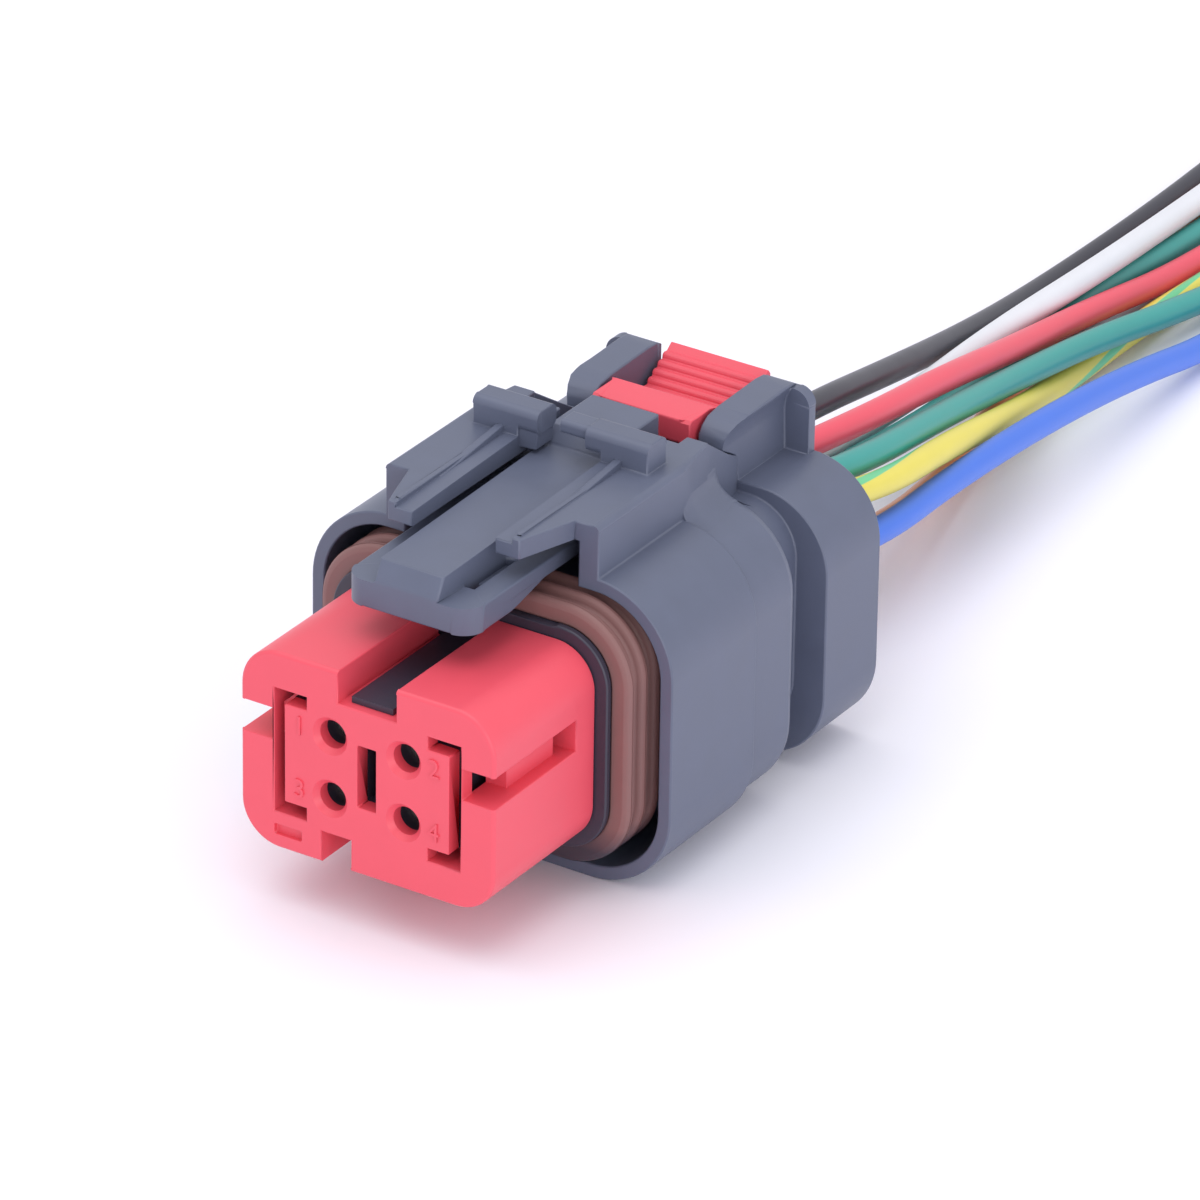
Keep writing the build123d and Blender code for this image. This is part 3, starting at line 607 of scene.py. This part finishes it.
def body_top(x):
    """Height of the mid body's top: level, then down a quarter circle at the side,
    and less a parabola at the rear edge."""
    past = np.maximum(x - ROUND_FROM, 0.0)
    down = BODY_ROUND - np.sqrt(np.maximum(BODY_ROUND ** 2 - past ** 2, 0.0))
    rear = np.maximum(hollow_y - REAR_FROM, 0.0)
    return BODY_TOP - down - REAR_DROP * (rear / REAR_RUN) ** 2


corners = [(hollow_x - SUNK, HOLLOW_FOOT), (hollow_x - SUNK, BODY_TOP + hollow_r)]
for turn in np.linspace(0, math.pi / 2, 11):
    x = hollow_x + hollow_r * (1 - math.cos(turn))
    corners.append((x, body_top(x) + hollow_r * (1 - math.sin(turn)) - SKIN))
corners.append((hollow_x + hollow_r, HOLLOW_FOOT))
bay_hollow = outlines(hollow_y, corners)

# %% Ribs along the roof and the foot of the left crossbar
RIB_IN, RIB_OUT, RIB_FOOT = 5.8, 6.55, 34.2
rib_y = np.linspace(20.0, 30.4, 9)
rib_top = np.interp(rib_y, [20.0, 22.6, 30.2, 30.4], [34.45, 34.62, 35.4, 35.4])
roof_rib = outlines(rib_y, [(RIB_IN, RIB_FOOT), (RIB_IN, rib_top), (RIB_OUT, rib_top), (RIB_OUT, RIB_FOOT)])
crossbar_foot = outlines(np.linspace(30.2, 32.9, 3), [(2.35, 35.6), (2.5, 33.7), (4.6, 33.5), (4.6, 35.6)])

# %% [markdown]
# The latch's nose plate runs on behind its catch as a thin fairing, and the
# red pad spreads at its rear corners. Both move with their own piece, so they
# are forms of their own and not part of the housing.

# %% The latch's fairing and the pad's flare
FAIRING_HALF_W, FAIRING_TOP = 6.68, 29.9
PAD_IN, PAD_HALF_W, PAD_FOOT, PAD_TOP = 3.6, 4.6, 31.0, 33.19
PAD_FRONT, PAD_REAR, PAD_FLARE, PAD_POWER = 44.0, 47.15, 0.85, 2.2
fairing_y = np.linspace(12.3, 18.0, 5)
fairing_low = np.interp(fairing_y, [12.3, 12.6, 18.0], [28.12, 28.12, 29.3])
fairing = outlines(fairing_y, [(-FAIRING_HALF_W, FAIRING_TOP), (FAIRING_HALF_W, FAIRING_TOP),
                               (FAIRING_HALF_W, fairing_low), (-FAIRING_HALF_W, fairing_low)])
pad_y = np.linspace(PAD_FRONT, PAD_REAR, 8)
pad_x = PAD_HALF_W + PAD_FLARE * ((pad_y - PAD_FRONT) / (PAD_REAR - PAD_FRONT)) ** PAD_POWER
pad_flare = outlines(pad_y, [(PAD_IN, PAD_FOOT), (PAD_IN, PAD_TOP), (pad_x, PAD_TOP), (pad_x, PAD_FOOT)])

# %% Make the small forms on both sides
loft("nose_fairing", fairing, housing_plastic, "latch", SLOTS["latch_arm"], edge=0.1)
for side, tag in ((1, "right"), (-1, "left")):
    loft(f"pad_flare_{tag}", mirrored(pad_flare, side), lock_plastic, "slide_lock",
         SLOTS["position_lock"], edge=0.05)
    forms = {"bay_wall": bay_wall, "bay_hollow": bay_hollow, "roof_rib": roof_rib}
    if side < 0:
        forms["crossbar_foot"] = crossbar_foot
    for form, shape in forms.items():
        loft(f"{form}_{tag}", mirrored(shape, side), housing_plastic, "housing", SLOTS["plug_housing"])
    print(tag, "forms:", ", ".join(forms))

# %% [markdown]
# The four entries are numbered on the face in small raised figures. Raised
# figures catch the light as they do on the real part, which paint or a bump
# would not, and a text object gives their outlines.

# %% Numbers beside the entries
FIGURE_H, FIGURE_RISE = 1.9, 0.14
TEXT_PER_FIGURE = 1.35        # a text's size over the height of its figures
FIGURE_X, FIGURE_Z = 7.0, 3.1
spots = [(-FIGURE_X, FIGURE_Z), (FIGURE_X, FIGURE_Z), (-FIGURE_X, -FIGURE_Z), (FIGURE_X, -FIGURE_Z)]
for number, (x, z) in enumerate(spots, 1):
    letters = bpy.data.curves.new("figure", "FONT")
    letters.body = str(number)
    letters.size = FIGURE_H * TEXT_PER_FIGURE * MM
    letters.align_x, letters.align_y = "CENTER", "CENTER"
    letters.extrude = FIGURE_RISE * MM
    letters.resolution_u = 4
    holder = placed("figure", letters)
    mesh = bpy.data.meshes.new_from_object(holder)
    bpy.data.objects.remove(holder)
    to_face = Matrix.Translation((x * MM, FACE_Y, AXIS_Z + z * MM))
    mesh.transform(to_face @ Matrix.Rotation(math.pi / 2, 4, "X"))
    figure = placed(f"number_{number}", mesh)
    finish_with(figure, lock_plastic)
    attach(figure, "terminal_lock")
print("four numbers", FIGURE_H, "mm high")

# %% [markdown]
# A wide pale floor and large soft lamps give the even light of a catalogue
# photograph. A floor that only catches shadows would lose the red glow under
# the plug, so it is a real surface, pale enough to look white.

# %% Floor
FLOOR_REACH, FLOOR_Z = 1.5, -0.00001
grid = FLOOR_REACH * np.array([(-1, -1), (1, -1), (1, 1), (-1, 1)])
floor = new_mesh("floor", np.c_[grid, np.full(4, FLOOR_Z)], np.array([[0, 1, 2, 3]]))
paper, paper_shader = new_finish("paper")
paper_shader.inputs["Base Color"].default_value = (0.93, 0.92, 1.0, 1)
paper_shader.inputs["Roughness"].default_value = 0.9
finish_with(floor, paper)


# %% Lamps and sky
def lamp(name, where, size, power, look_at=(0, 0, 0.015)):
    """A square area lamp that looks at the plug."""
    light = bpy.data.lights.new(name, "AREA")
    light.shape = "SQUARE"
    light.size = size
    light.energy = power
    obj = placed(name, light)
    obj.location = where
    obj.rotation_euler = (Vector(look_at) - Vector(where)).to_track_quat("-Z", "Y").to_euler()


lamp("top", (-0.05, -0.12, 0.85), 0.9, 3.6)
lamp("right", (0.75, -0.55, 0.22), 0.6, 2.6)
sky = bpy.data.worlds.new("sky")
sky.use_nodes = True
sky.node_tree.nodes["Background"].inputs["Color"].default_value = (0.97, 0.97, 1.0, 1)
sky.node_tree.nodes["Background"].inputs["Strength"].default_value = 0.85
bpy.context.scene.world = sky
